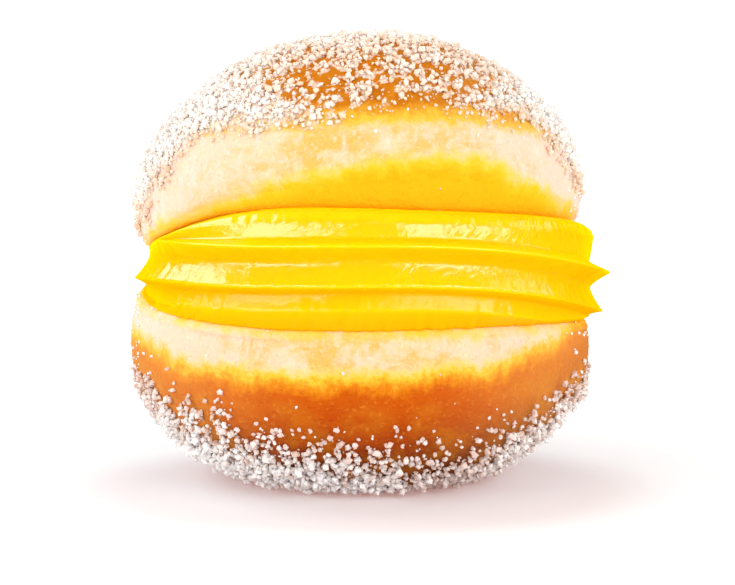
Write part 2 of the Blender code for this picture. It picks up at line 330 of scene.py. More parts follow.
def superellipse(angle, fullness):
    """(across, along) of a rounded quarter outline, each from 0 to 1, at 0 to 90 degrees."""
    power = 2 / fullness
    return math.cos(angle) ** power, math.sin(angle) ** power


def slit_share(turn, fade=SLIT_FADE):
    """1 where the mouth is cut, falling to 0 at the slit's ends and along the hinge."""
    return clamped((SLIT_END - abs(turn)) / fade)


def lip_lift(turn):
    """How far the lower lip stands above the flat cut: the face is a little twisted."""
    return LIP_TWIST * math.sin(2 * (turn + MOUTH_YAW)) * slit_share(turn, LIFT_FADE)


def lid_corner(turn):
    """1 at the lid's drooping corner."""
    return bell(turn, LID_CORNER_TURN, LID_CORNER_WIDTH)


def lid_lift(turn):
    """How far the lid's lip stands above its flat cut: it sags in the middle and at one corner."""
    sag = LID_SAG * math.cos(2 * turn) + LID_CORNER_DROP * lid_corner(turn)
    return -sag * slit_share(turn, LIFT_FADE)


def lid_lip_size(turn):
    return (LID_LIP_ROUND + LID_LIP_DROOP * frontness(turn)) * slit_share(turn)


def wall_radius(radius, above_waist, curve):
    return radius * math.sqrt(1 - (above_waist / curve) ** 2)


def lip_point(turn):
    """The outer edge of the lower cut face, in world space."""
    rough = CUT @ spoke(turn, BUN_RADIUS, lip_lift(turn))
    radius = wall_radius(BUN_RADIUS, rough.z - WAIST_HEIGHT, WALL_CURVE)
    return CUT @ spoke(turn, radius, lip_lift(turn))


def lid_lip_radius():
    return wall_radius(LID_RADIUS, LID_WAIST, LID_WALL_CURVE)


def belt_point(turn):
    """Where the two halves meet along the uncut hinge, drawn in to a soft crease."""
    middle = (lip_point(turn) + LID @ spoke(turn, lid_lip_radius(), 0)) / 2
    inward = Vector((-middle.x, -middle.y, 0)).normalized()
    return middle + inward * HINGE_CREASE * (1 - slit_share(turn))


def spine_reach(turn):
    """How far along the hinge line the cut face of this turn runs out."""
    return HINGE_HALF_LENGTH * turn / SLIT_END


def spine_point(turn):
    """The inner end of the cut, on the hinge line."""
    return CUT @ Vector((spine_reach(turn), HINGE_REACH, 0))


def is_open(turn):
    return abs(turn) < SLIT_END - TURN_STEP / 2


def foot_rows(turn):
    """The underside, from the edge of the flat foot up to the widest level."""
    depth = WAIST_HEIGHT + FOOT_SINK
    foot_angle = math.asin((WAIST_HEIGHT / depth) ** (FOOT_FULLNESS / 2))
    rows = []
    for i in range(FOOT_ROWS + 1):
        across, along = superellipse(foot_angle * (1 - i / FOOT_ROWS), FOOT_FULLNESS)
        point = spoke(turn + MOUTH_YAW, BUN_RADIUS * across, WAIST_HEIGHT - depth * along)
        point.x += FOOT_LEAN * along
        rows.append(lumped(point))
    return rows


def wall_rows(turn):
    """The lower half's wall, from above its widest level to the start of the lip's rounding."""
    top = lip_point(turn) if is_open(turn) else belt_point(turn)
    reach = math.hypot(top.x, top.y)
    rise = top.z - LIP_ROUND * slit_share(turn) - WAIST_HEIGHT
    rows = []
    for i in range(1, WALL_ROWS + 1):
        part = i / WALL_ROWS if is_open(turn) else i / (WALL_ROWS + 1)
        free = wall_radius(BUN_RADIUS, rise * part, WALL_CURVE)
        end = wall_radius(BUN_RADIUS, rise, WALL_CURVE)
        radius = free + (reach - end) * part**3
        rows.append(lumped(spoke(turn + MOUTH_YAW, radius, WAIST_HEIGHT + rise * part)))
    return rows


def swollen(point, turn):
    """A place on the lid's cut face, moved down where the soft lip bulges."""
    local = FROM_LID @ point
    bulge = bell(lid_lip_radius() - local.xy.length, LIP_SWELL_PLACE, LIP_SWELL_WIDTH)
    local.z -= LIP_SWELL * bulge * frontness(turn) * slit_share(turn)
    return LID @ local


def lip_rows(turn, cut, radius, lift, size):
    """A rounded edge, from the skin to the cut face. The size is below zero on the lower lip."""
    rows = []
    for i in range(1, LIP_ROWS + 1):
        angle = math.pi / 2 * i / LIP_ROWS
        inward = abs(size) * (1 - math.cos(angle))
        rows.append(cut @ spoke(turn, radius - inward, lift + size * (1 - math.sin(angle))))
    return rows


def page_rows(turn, start):
    """A cut face, from the end of the lip's rounding in to the hinge line, without its ends."""
    end = spine_point(turn)
    parts = [(i / (PAGE_ROWS + 1)) ** PAGE_CROWDING for i in range(1, PAGE_ROWS + 1)]
    return [start.lerp(end, part) for part in parts]


def mouth_rows(turn):
    """Both lips and both cut faces, from the lower lip in to the hinge and out to the lid's lip."""
    if not is_open(turn):
        return [belt_point(turn)]
    low_edge = (FROM_CUT @ lip_point(turn)).xy.length
    low_lip = lip_rows(turn, CUT, low_edge, lip_lift(turn), -LIP_ROUND * slit_share(turn))
    lid_lip = lip_rows(turn, LID, lid_lip_radius(), lid_lift(turn), lid_lip_size(turn))
    low_page = page_rows(turn, low_lip[-1])
    lid_page = page_rows(turn, lid_lip[-1])
    lid_side = [swollen(point, turn) for point in (lid_lip + lid_page)[::-1]]
    return low_lip + low_page + [spine_point(turn)] + lid_side


def lid_wall_rows(turn):
    """The lid's wall, from its lip to below its widest level."""
    start = lid_lip_size(turn) + lid_lift(turn)
    belt = FROM_LID @ belt_point(turn)
    rows = []
    for i in range(WALL_ROWS):
        part = i / WALL_ROWS if is_open(turn) else (i + 1) / (WALL_ROWS + 1)
        low = start if is_open(turn) else belt.z
        height = low + (LID_WAIST - low) * part
        radius = wall_radius(LID_RADIUS, LID_WAIST - height, LID_WALL_CURVE)
        if not is_open(turn):
            end = wall_radius(LID_RADIUS, LID_WAIST - belt.z, LID_WALL_CURVE)
            radius += (belt.xy.length - end) * (1 - part) ** 3
        rows.append(lumped(LID @ spoke(turn, radius, height)))
    return rows


def dome_rows(turn):
    """The top of the lid, from its widest level up to the last ring below the crown."""
    rows = []
    for i in range(DOME_ROWS):
        across, along = superellipse(math.pi / 2 * i / DOME_ROWS, LID_FULLNESS)
        height = LID_WAIST + (LID_HEIGHT - LID_WAIST) * along
        point = LID @ spoke(turn, LID_RADIUS * across, height)
        point.x += LID_LEAN * along
        rows.append(lumped(point))
    return rows


def bridge(lower, upper):
    """Faces between two closed rings of vertex numbers. A corner that both share is taken once."""
    faces = []
    for i, _ in enumerate(lower):
        corners = tuple(dict.fromkeys((lower[i - 1], lower[i], upper[i], upper[i - 1])))
        if len(corners) > 2:
            faces.append(corners)
    return faces


def mesh_object(name, points, faces):
    mesh = bpy.data.meshes.new(name)
    mesh.from_pydata(points, [], faces)
    thing = bpy.data.objects.new(name, mesh)
    bpy.context.scene.collection.objects.link(thing)
    return thing


def smooth_piece(name, points, faces):
    """A smooth-shaded object that rides on the part's only body."""
    piece = mesh_object(name, points, faces)
    piece.data.validate()
    piece.data.shade_smooth()
    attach(piece, "root")
    return piece


def vectors(rows, name):
    flat = np.empty(len(rows) * 3)
    rows.foreach_get(name, flat)
    return flat.reshape(-1, 3)


def positions(mesh):
    return vectors(mesh.vertices, "co")


def normals(mesh):
    return vectors(mesh.vertex_normals, "vector")


def store(mesh, name, values):
    attribute = mesh.attributes.new(name, "FLOAT", "POINT")
    attribute.data.foreach_set("value", np.asarray(values, dtype=np.float32))


def push_out(mesh, distances):
    """Moves each vertex along its normal."""
    moved = positions(mesh) + normals(mesh) * np.asarray(distances)[:, None]
    mesh.vertices.foreach_set("co", moved.ravel())
    mesh.update()


def wander(point, size, seed=0.0):
    """A smooth unevenness between about -1 and 1 that changes over the size."""
    return noise.noise(Vector(point) / size + Vector((seed, -seed, 3 * seed)))


def low_crust_edge(point):
    """The height to which the lower half is browned, which is greater at its sides."""
    across = point.x / BUN_RADIUS
    climb = CRUST_CLIMB * across**2 + CRUST_CLIMB_RIGHT * across
    climb += CRUST_CORNER * smooth(across, CRUST_CORNER_START, 1.0)
    return CRUST_TOP + climb + CRUST_WANDER * wander(point, CRUST_WANDER_SIZE, 5.0)


def lid_crust_edge(point):
    """The height above the lid's cut from which the lid is browned."""
    left = LID_CRUST_LEFT * smooth(-point.x / LID_RADIUS, *LID_CRUST_LEFT_SPAN)
    return LID_CRUST_EDGE + left + CRUST_WANDER * wander(point, CRUST_WANDER_SIZE, 11.0)


def turn_of(local):
    return math.atan2(local.x, -local.y)


def low_skin_marks(point):
    """(browning, stain and painted shade) of a place on the lower half: depths in metres past the
    edge of each.
    """
    local = FROM_CUT @ point
    below_lip = lip_lift(turn_of(local)) - local.z
    return low_crust_edge(point) - point.z, LOW_STAIN_AND_SHADE_DEPTH - below_lip


def lid_skin_marks(point):
    local = FROM_LID @ point
    # The stain height also bounds the painted yellow-orange shade under the lid's lip.
    stain_and_shade_height = np.interp(turn_of(local), STAIN_AND_SHADE_TURNS, STAIN_AND_SHADE_HEIGHTS)
    browning = local.z - lid_crust_edge(point)
    if browning > LID_BROWNING:
        browning = LID_BROWNING + LID_BROWNING_GAIN * (browning - LID_BROWNING)
    return browning, stain_and_shade_height - local.z


def build_bun():
    """The dough, as one closed skin from the flat foot round the mouth to the crown."""
    points, marks, sections = [], [], []

    def add(rows, mark):
        numbers = range(len(points), len(points) + len(rows))
        points.extend(rows)
        marks.extend(mark(point) for point in rows)
        return list(numbers)

    mouth_length = 2 * (LIP_ROWS + PAGE_ROWS) + 1
    for i in range(TURNS):
        turn = (i - TURNS // 2) * TURN_STEP
        below = add(foot_rows(turn) + wall_rows(turn), lambda p: (*low_skin_marks(p), 0.0))
        mouth = mouth_rows(turn)
        if is_open(turn):
            belt = add(mouth[:LIP_ROWS], lambda p: (*low_skin_marks(p), LOW_LIP_CRUMB))
            belt += add(mouth[LIP_ROWS:-LIP_ROWS], lambda p: (NOT_BROWNED, 0.0, 1.0))
            belt += add(mouth[-LIP_ROWS:], lambda p: (*lid_skin_marks(p), LID_LIP_CRUMB))
        else:
            belt = add(mouth, lambda p: (HINGE_BROWNING, -1 * MM, 0.0)) * mouth_length
        above = add(lid_wall_rows(turn) + dome_rows(turn), lambda p: (*lid_skin_marks(p), 0.0))
        sections.append(below + belt + above)
    rings = list(zip(*sections))
    faces = [face for low, high in zip(rings, rings[1:]) for face in bridge(low, high)]
    faces.append(tuple(reversed(rings[0])))
    crown = lumped(LID @ Vector((0, 0, LID_HEIGHT)) + Vector((LID_LEAN, 0, 0)))
    crown_number = add([crown], lambda p: (*lid_skin_marks(p), 0.0))
    faces += bridge(rings[-1], crown_number * TURNS)

    bun = smooth_piece("dough", points, faces)
    browning, stain, crumb = np.array(marks).T
    store(bun.data, "browning", browning / MM)
    store(bun.data, "stain", stain / MM)
    store(bun.data, "crumb", crumb)
    relief = []
    for point, (_, _, cut) in zip(points, marks):
        skin = (1 - cut) * min(1.0, point.z / DIMPLE_FADE)
        dimple = DIMPLE_DEPTH * wander(point, DIMPLE_SIZE, 2.0)
        grain = GRAIN_DEPTH * wander(point, GRAIN_SIZE, 7.0)
        relief.append(skin * (dimple + grain))
    push_out(bun.data, relief)
    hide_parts("bun")
    return bun


def ribbon_wobble(turn, seed):
    """A slow drift between -1 and 1 along the ribbon."""
    return unevenness(3 * math.sin(turn), 3 * math.cos(turn), seed)


def ribbon_base(turn):
    """The radius of the ribbon's valleys, which draw in towards both of its ends."""
    taper = max(0.0, (abs(turn) - RIBBON_TAPER_START) / (RIBBON_END - RIBBON_TAPER_START))
    shift = RIBBON_SHIFT * math.cos(turn - RIBBON_SHIFT_TURN)
    return RIBBON_RADIUS + shift - RIBBON_TAPER * taper**2


def ribbon_top(turn):
    """(height, radius) in the cut frame where the custard meets the lid, behind its lip."""
    recess = TOP_RECESS * (0.55 + 0.45 * math.cos(turn - TOP_RECESS_TURN))
    radius = min(lid_lip_radius() - lid_lip_size(turn) - recess, ribbon_base(turn))
    height = lid_lift(turn) * (1 - recess / (2 * HINGE_REACH)) - CLEARANCE
    point = FROM_CUT @ LID @ spoke(turn, radius, height)
    return point.z, point.xy.length


def lid_underside(turn):
    """(radii, heights) of the lid's face and lip in the cut frame, outwards."""
    lip = lip_rows(turn, LID, lid_lip_radius(), lid_lift(turn), lid_lip_size(turn))
    face = page_rows(turn, lip[-1])[: PAGE_ROWS // 2]
    rows = [FROM_CUT @ swollen(point, turn) for point in lip + face]
    radii = np.minimum.accumulate([row.xy.length for row in rows])
    return radii[::-1], np.array([row.z for row in rows])[::-1]


def ribbon_foot(turn):
    """(height, radius) in the cut frame where the custard ends on the lower lip's rounding."""
    edge = (FROM_CUT @ lip_point(turn)).xy.length
    ragged = ribbon_wobble(turn, 4.0) + unevenness(turn * 30, 2.0, 6.0)
    inward = DRAPE_INWARD * (1 + DRAPE_RAGGEDNESS * ragged)
    radius = min(edge - inward, ribbon_base(turn) + DRAPE_REACH)
    rounding = LIP_ROUND * slit_share(turn)
    across = max(0.0, 1 - (edge - radius) / rounding) if rounding else 0.0
    drop = rounding * (1 - math.sqrt(1 - across**2))
    return lip_lift(turn) - drop + LIP_GAP, radius


def ribbon_marks(turn):
    """(height, radius) of the crests and valleys in the cut frame, upwards from the foot."""
    base = ribbon_base(turn)
    top = ribbon_top(turn)[0]
    bottom = CLEARANCE + lip_lift(turn)
    middle = RIBBON_MIDDLE + RIBBON_RISE * math.cos(turn - RIBBON_RISE_TURN)
    middle += RIBBON_WAVE * math.cos(3 * (turn - RIBBON_WAVE_TURN))
    second = middle - CREST_HALF_PITCH
    first = middle + CREST_HALF_PITCH
    top_crest = first + TOP_CREST_SHARE * (top - first)
    left_fade = clamped((turn - FIRST_CREST_START) / FIRST_CREST_RISE)
    end_tip = END_TIP * bell(turn, END_TIP_TURN, END_TIP_WIDTH)
    top_reach = CREST_REACH["top"] * left_fade + CORNER_SPILL * lid_corner(turn) + end_tip
    foot, foot_radius = ribbon_foot(turn)
    wanted = [
        (foot, foot_radius - base),
        (middle - LOW_CREST_DROP, CREST_REACH["low"]),
        (second - 1.2 * MM, 0.2 * MM),
        (second, CREST_REACH["second"]),
        (middle + 0.7 * MM, 0.0),
        (first, CREST_REACH["first"] * left_fade),
        (first + TOP_VALLEY_SHARE * (top_crest - first), -0.1 * MM - 0.6 * end_tip),
        (top_crest, top_reach),
    ]
    marks = []
    for i, (height, reach) in enumerate(wanted):
        lowest = bottom + i * ROW_GAP
        highest = top - (len(wanted) - i) * ROW_GAP
        height = max(lowest, min(highest, height)) if i else height
        fade = min(1.0, (height - bottom) / CREST_FADE, (top - height) / CREST_FADE)
        if i:
            reach *= fade * (1 + CREST_UNEVENNESS * ribbon_wobble(turn, i))
        nick = CREST_NICKS * fade * unevenness(turn * CREST_NICKS_PER_TURN, i * 7.3, 0.5)
        marks.append((height, base + reach + (nick if i % 2 else 0.0)))
    return marks


def shoulder_swell(turn):
    """How far the custard swells up in front of the lid, which is more at the mouth's sides."""
    aside = 1 + SHOULDER_SIDE_GAIN * math.sin(turn) ** 2
    return SHOULDER_SWELL * aside * slit_share(turn, LIFT_FADE)


def ribbon_front(turn):
    """(height, radius, crest) up the custard's front; crest is 1 on a crest and 0 in a valley."""
    marks = ribbon_marks(turn)
    base = ribbon_base(turn)
    outline = []
    for (low, low_radius), (high, high_radius) in zip(marks, marks[1:]):
        valley, peak = sorted((low_radius, high_radius))
        for i in range(SEGMENT_ROWS):
            part = i / SEGMENT_ROWS
            share = part if high_radius > low_radius else 1 - part
            sharpness = CREST_SHARPNESS if peak > base else LOBE_ROUNDNESS
            radius = valley + (peak - valley) * share**sharpness
            outline.append((low + (high - low) * part, radius, share))
    top, top_radius = ribbon_top(turn)
    crest, crest_radius = marks[-1]
    peak = top + shoulder_swell(turn)
    radii, undersides = lid_underside(turn)
    for i in range(SHOULDER_ROWS + 1):
        share = i / SHOULDER_ROWS
        radius = crest_radius + (top_radius - crest_radius) * share**SHOULDER_SLOPE
        left = clamped(1 - (crest_radius - radius) / SHOULDER_ROUND)
        height = crest + (peak - crest) * math.sqrt(1 - left**2)
        height = min(height, float(np.interp(radius, radii, undersides)) - LIP_GAP)
        outline.append((height, radius, 1 - share))
    return outline


def drag(turn, height):
    """The depth of the ripples across the ribbon, which lean a little and come in patches."""
    along = turn * RIBBON_RADIUS
    lean = along - DRAG_LEAN * height
    ripple = unevenness(lean / DRAG_PITCH, height / DRAG_LENGTH, 1.7)
    long, high = DRAG_PATCH
    patch = 0.5 + 0.9 * unevenness(along / long, height / high, 8.1)
    return DRAG_DEPTH * ripple * max(0.0, min(1.3, patch)) * frontness(turn)


def build_custard():
    """The filling: a loft of closed outlines from one end of the mouth round to the other."""
    points, sections, marks = [], [], []
    for i in range(-RIBBON_STEPS, RIBBON_STEPS + 1):
        turn = RIBBON_END * i / RIBBON_STEPS
        outline = ribbon_front(turn)
        front = [CUT @ spoke(turn, r + drag(turn, h), h) for h, r, _ in outline]
        back = HINGE_REACH - CUSTARD_BACK
        low_back = CUT @ Vector((spine_reach(turn), back, CLEARANCE))
        lid_back = LID @ Vector((spine_reach(turn), back, -CLEARANCE))
        inner = [k / PAGE_ROWS for k in range(1, PAGE_ROWS)]
        top_line = [front[-1].lerp(lid_back, part) for part in inner]
        low_line = [low_back.lerp(front[0], part) for part in inner]
        section = front + top_line + [lid_back, low_back] + low_line
        hidden = len(section) - len(front)
        sections.append(range(len(points), len(points) + len(section)))
        points += section
        along = turn * RIBBON_RADIUS / MM
        for row, (height, _, crest) in enumerate(outline):
            marks.append((crest, along, height / MM, row / SEGMENT_ROWS))
        marks += [(0.0, along, 0.0, 0.0)] * hidden
    faces = [face for left, right in zip(sections, sections[1:]) for face in bridge(right, left)]
    faces += [tuple(sections[0]), tuple(reversed(sections[-1]))]
    custard = smooth_piece("piped_custard", points, faces)
    for name, values in zip(("crest", "along", "height", "level"), np.array(marks).T):
        store(custard.data, name, values)
    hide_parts("custard")
    return custard


def crystal(rng, plain):
    """(corners, triangles) of one sugar crystal about 1 across: a blocky closed convex solid."""
    around = np.arange(4) * math.pi / 2
    rings = [(0.0, 0.0)] if plain else [(-0.55, 0.0), (0.55, 0.6)]
    corners = [(math.cos(a + twist), math.sin(a + twist), z) for z, twist in rings for a in around]
    corners += [(0, 0, -0.85), (0, 0, 0.85)]
    corners = np.array(corners) * 0.5
    corners *= rng.uniform(0.72, 1.0, 3)
    corners += rng.normal(0, 0.07, corners.shape)
    bm = bmesh.new()
    hull = bmesh.ops.convex_hull(bm, input=[bm.verts.new(corner) for corner in corners])
    unused = hull["geom_interior"] + hull["geom_unused"]
    buried = {part for part in unused if isinstance(part, bmesh.types.BMVert)}
    bmesh.ops.delete(bm, geom=list(buried), context="VERTS")
    bmesh.ops.triangulate(bm, faces=bm.faces)
    bm.verts.index_update()
    shape = np.array([v.co for v in bm.verts])
    faces = np.array([[v.index for v in face.verts] for face in bm.faces])
    bm.free()
    return shape, faces


class Skin:
    """The dough's outer surface as triangles, from which places for sugar are drawn."""

    def __init__(self, mesh):
        mesh.calc_loop_triangles()
        flat = np.empty(len(mesh.loop_triangles) * 3, dtype=np.int32)
        mesh.loop_triangles.foreach_get("vertices", flat)
        self.triangles = flat.reshape(-1, 3)
        self.points = positions(mesh)
        self.normals = normals(mesh)
        a, b, c = (self.points[self.triangles[:, k]] for k in range(3))
        self.areas = np.linalg.norm(np.cross(b - a, c - a), axis=1) / 2

    def scatter(self, rng, count, density, clumping):
        """Places, normals and thickness of the cover: more where both rules ask for more."""
        weight = self.areas * density[self.triangles].mean(axis=1)
        tries = CROWDING * count
        chosen = rng.choice(len(weight), tries, p=weight / weight.sum())
        corner = rng.dirichlet((1, 1, 1), tries)[:, :, None]
        picked = self.triangles[chosen]
        place = (self.points[picked] * corner).sum(axis=1)
        normal = (self.normals[picked] * corner).sum(axis=1)
        normal /= np.linalg.norm(normal, axis=1)[:, None]
        chance = np.array([clumping(Vector(point)) for point in place])
        kept = np.flatnonzero(rng.random(tries) < chance)[:count]
        cover = density[picked[kept]].mean(axis=1) * chance[kept]
        return place[kept], normal[kept], cover


def turned(rng, count):
    """Random rotations, as an array of matrices."""
    quaternion = rng.normal(size=(count, 4))
    w, x, y, z = (quaternion / np.linalg.norm(quaternion, axis=1)[:, None]).T
    rows = [
        [1 - 2 * (y * y + z * z), 2 * (x * y - w * z), 2 * (x * z + w * y)],
        [2 * (x * y + w * z), 1 - 2 * (x * x + z * z), 2 * (y * z - w * x)],
        [2 * (x * z - w * y), 2 * (y * z + w * x), 1 - 2 * (x * x + y * y)],
    ]
    return np.array(rows).transpose(2, 0, 1)


def build_sugar(name, rng, places, sizes, whiteness, plain):
    """All crystals of one kind as one mesh."""
    kinds = [crystal(rng, plain) for _ in range(CRYSTAL_KINDS)]
    kind_of = rng.integers(CRYSTAL_KINDS, size=len(places))
    turns = turned(rng, len(places))
    points, faces, tints, start = [], [], [], 0
    for number, (shape, triangles) in enumerate(kinds):
        mine = np.flatnonzero(kind_of == number)
        world = np.einsum("nij,kj->nki", turns[mine], shape) * sizes[mine][:, None, None]
        world += places[mine][:, None, :]
        low = world[:, :, 2].min(axis=1)
        world[:, :, 2] += np.maximum(0, -low)[:, None]
        offsets = start + len(shape) * np.arange(len(mine))
        points.append(world.reshape(-1, 3))
        faces.append((triangles[None] + offsets[:, None, None]).reshape(-1, 3))
        tint = 0.4 * rng.random(len(mine)) + 0.6 * whiteness[mine] ** 2
        tints.append(np.repeat(tint, len(shape)))
        start += len(shape) * len(mine)
    piece = mesh_object(name, np.concatenate(points), np.concatenate(faces))
    store(piece.data, "tint", np.concatenate(tints))
    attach(piece, "root")
    return piece


def field(skin, rule):
    """The rule's value at each vertex of the skin."""
    return np.array([rule(Vector(point)) for point in skin.points])


def rubbed(point):
    """1 high at the front of the crown, where some of the sugar has been rubbed off, else 0."""
    facing = (point - DOME_MIDDLE).normalized()
    if facing.y > 0:
        return 0.0
    (across, up), (wide, high) = RUBBED_PLACE, RUBBED_REACH
    miss = math.hypot((facing.x - across) / wide, (facing.z - up) / high)
    return smooth(1 - miss, 0.0, 0.55) * (1 - 0.15 * smooth(facing.x, 0.2, 0.6))


def crown_sugar_density(point):
    """Thick on the top and the sides of the lid, down to a ragged edge."""
    if point.z < CUT_HEIGHT:
        return 0.0
    across = point.x / LID_RADIUS
    height = (FROM_LID @ point).z + CROWN_EDGE_RAGGED * wander(point, 4 * MM, 3.0)
    edge = CROWN_SUGAR_EDGE - CROWN_EDGE_SIDE_DROP * smooth(abs(across), 0.72, 1.0)
    edge -= CROWN_EDGE_LEFT_DROP * smooth(-across, -0.1, 0.3)
    return smooth(height, edge - 3 * MM, edge + 4 * MM) * (1 - RUBBED_THINNING * rubbed(point))


def clumps(point, vein):
    """1 in the clumps of sugar and near 0 in the veins of bare crust between them."""
    place = wander(point, CLUMP_SIZE, 4.0) + 0.5 * wander(point, CLUMP_SIZE / 2, 6.0)
    return 0.04 + 0.96 * smooth(abs(place), 0.3 * vein, 1.3 * vein)


def crown_clumping(point):
    return clumps(point, CLUMP_VEIN + RUBBED_VEIN * rubbed(point))


def base_sugar_edge(point):
    """The ragged height up to which sugar sticks to the underside, higher at both sides."""
    across = point.x / BUN_RADIUS
    edge = BASE_SUGAR_EDGE + BASE_EDGE_RAGGED * wander(point, 6 * MM, 9.0)
    edge += BASE_EDGE_RIGHT_CLIMB * smooth(across, 0.45, 0.9)
    edge -= BASE_EDGE_RIGHT_DIP * smooth(across, 0.0, 0.3)
    return edge + BASE_EDGE_LEFT_CLIMB * smooth(-across, 0.20, 0.75)


def base_sugar_density(point):
    """Thick under the bun, thinning upwards, and thinner a little right of the middle."""
    if point.z > WAIST_HEIGHT or point.z < 0.5 * MM:
        return 0.0
    thin = BASE_THINNING * bell(point.x / BUN_RADIUS, 0.35, 0.2)
    return smooth(base_sugar_edge(point) - point.z, -5 * MM, 10 * MM) * (1 - thin)


def base_clumping(point):
    depth = base_sugar_edge(point) - point.z
    return clumps(point, BASE_VEIN - BASE_VEIN_NARROWING * smooth(depth, 0, 12 * MM))


def stray_sugar_density(point):
    """Single grains that have spread over the crust and the pale band, more at both sides."""
    side = STRAY_SIDE_GAIN * smooth(abs(point.x) / BUN_RADIUS, 0.84, 0.98)
    if point.z < CUT_HEIGHT:
        return (1.0 if point.z < STRAYS_CLIMB else 0.15) + side
    return (1.0 if (FROM_LID @ point).z > LID_STRAYS_EDGE else 0.1) + side


def sprinkle(dough, dry, shade_lifted):
    """All the sugar: coarse grains on the crown and the underside, strays, and fine dust."""
    rng = np.random.default_rng(SEED)
    skin = Skin(dough.data)
    crown = field(skin, crown_sugar_density)
    base = field(skin, base_sugar_density)
    strays = field(skin, stray_sugar_density)
    clumped = field(skin, crown_clumping)
    store(dough.data, "dusted", np.maximum(crown * clumped, BASE_DUST * base**2))
    # Name, where it lies, how it clumps, number, size in mm, height of its piles, finish.
    kinds = [
        ("crown_sugar", crown, crown_clumping, 12400, 0.90, 0.5, dry),
        ("base_sugar", base, base_clumping, 10800, 0.92, 0.9, shade_lifted),
        ("stray_sugar", strays, lambda point: 1.0, 620, 0.52, 0.1, shade_lifted),
        ("crown_fines", crown, crown_clumping, 24500, 0.52, 0.45, dry),
        ("base_fines", base**2, base_clumping, 9000, 0.50, 0.7, shade_lifted),
    ]
    for name, density, clumping, count, size, pile, finish in kinds:
        plain = name.endswith("fines")
        places, normal, whiteness = skin.scatter(rng, count, density, clumping)
        count = len(places)
        sizes = size * MM * np.clip(rng.lognormal(-0.02, GRAIN_SPREAD, count), 0.55, 1.7)
        height = sizes * (0.18 + pile * rng.random(count) ** 1.5)
        places += normal * height[:, None]
        sugar = build_sugar(name, rng, places, sizes, whiteness, plain)
        sugar.data.materials.append(finish)


class Value:
    """A node's output. A sum on it adds its Math node, so a mask can be written as 1 - crust."""

    def __init__(self, finish, socket):
        self.finish = finish
        self.socket = socket

    def __add__(self, other):
        return self.finish.math("ADD", self, other)

    def __sub__(self, other):
        return self.finish.math("SUBTRACT", self, other)

    def __rsub__(self, other):
        return self.finish.math("SUBTRACT", other, self)

    def __mul__(self, other):
        return self.finish.math("MULTIPLY", self, other)

    def __truediv__(self, other):
        return self.finish.math("DIVIDE", self, other)

    __radd__ = __add__
    __rmul__ = __mul__


def opaque(colour):
    """A plain colour with its alpha added. A node's output stays as it is."""
    return colour if isinstance(colour, Value) else (*colour, 1.0)


class Finish:
    """A tree of nodes being put together."""

    def __init__(self, tree):
        self.tree = tree
        self.tree.nodes.clear()

    def node(self, kind, settings=None, sockets=None, output=0):
        """Adds a node and returns one of its outputs. Settings are set before the sockets."""
        node = self.tree.nodes.new("ShaderNode" + kind)
        for name, setting in (settings or {}).items():
            if name == "stops":
                self.set_stops(node.color_ramp, setting)
            else:
                setattr(node, name, setting)
        for name, value in (sockets or {}).items():
            if isinstance(value, Value):
                self.tree.links.new(value.socket, node.inputs[name])
            else:
                node.inputs[name].default_value = value
        return Value(self, node.outputs[output]) if node.outputs else None

    def set_stops(self, ramp, stops):
        while len(ramp.elements) < len(stops):
            ramp.elements.new(1.0)
        for element, (place, colour) in zip(ramp.elements, stops):
            element.position = place
            element.color = opaque(colour)

    def math(self, operation, a, b):
        return self.node("Math", {"operation": operation}, {0: a, 1: b})

    def step(self, value, low, high):
        """0 below low and 1 above high, with a smooth rise between them."""
        sockets = {"Value": value, "From Min": low, "From Max": high}
        return self.node("MapRange", {"interpolation_type": "SMOOTHSTEP"}, sockets)

    def mix(self, share, first, second):
        """The second colour over the first."""
        sockets = {0: share, 6: opaque(first), 7: opaque(second)}
        return self.node("Mix", {"data_type": "RGBA"}, sockets, output=2)

    def ramp(self, value, stops):
        return self.node("ValToRGB", {"stops": stops}, {0: value})

    def attributes(self, *names):
        return [self.node("Attribute", {"attribute_name": name}, output="Fac") for name in names]

    def place(self):
        """Where the surface is, in millimetres."""
        metres = self.node("TexCoord", output="Object")
        return self.stretch(metres, (1000, 1000, 1000))

    def stretch(self, vector, factors):
        return self.node("VectorMath", {"operation": "MULTIPLY"}, {0: vector, 1: factors})

    def part(self, vector, axis):
        return self.node("SeparateXYZ", {}, {0: vector}, output=axis)

    def noise(self, vector, size, detail=3.0, rough=0.55, distortion=0.0):
        """A cloudy value from 0 to 1. The size of its clouds is in millimetres."""
        sockets = {"Vector": vector, "Scale": 1 / size, "Detail": detail}
        return self.node("TexNoise", {}, {**sockets, "Roughness": rough, "Distortion": distortion})

    def bump(self, height, depth):
        """A normal from a height of 0 to 1 that stands for this depth in millimetres."""
        return self.node("Bump", {}, {"Height": height, "Distance": depth * MM})

    def principled(self, sockets):
        return self.node("BsdfPrincipled", {}, sockets)

    def surface(self, shader):
        self.node("OutputMaterial", {}, {"Surface": shader})


def new_material(name):
    material = bpy.data.materials.new(name)
    material.use_nodes = True
    return material, Finish(material.node_tree)


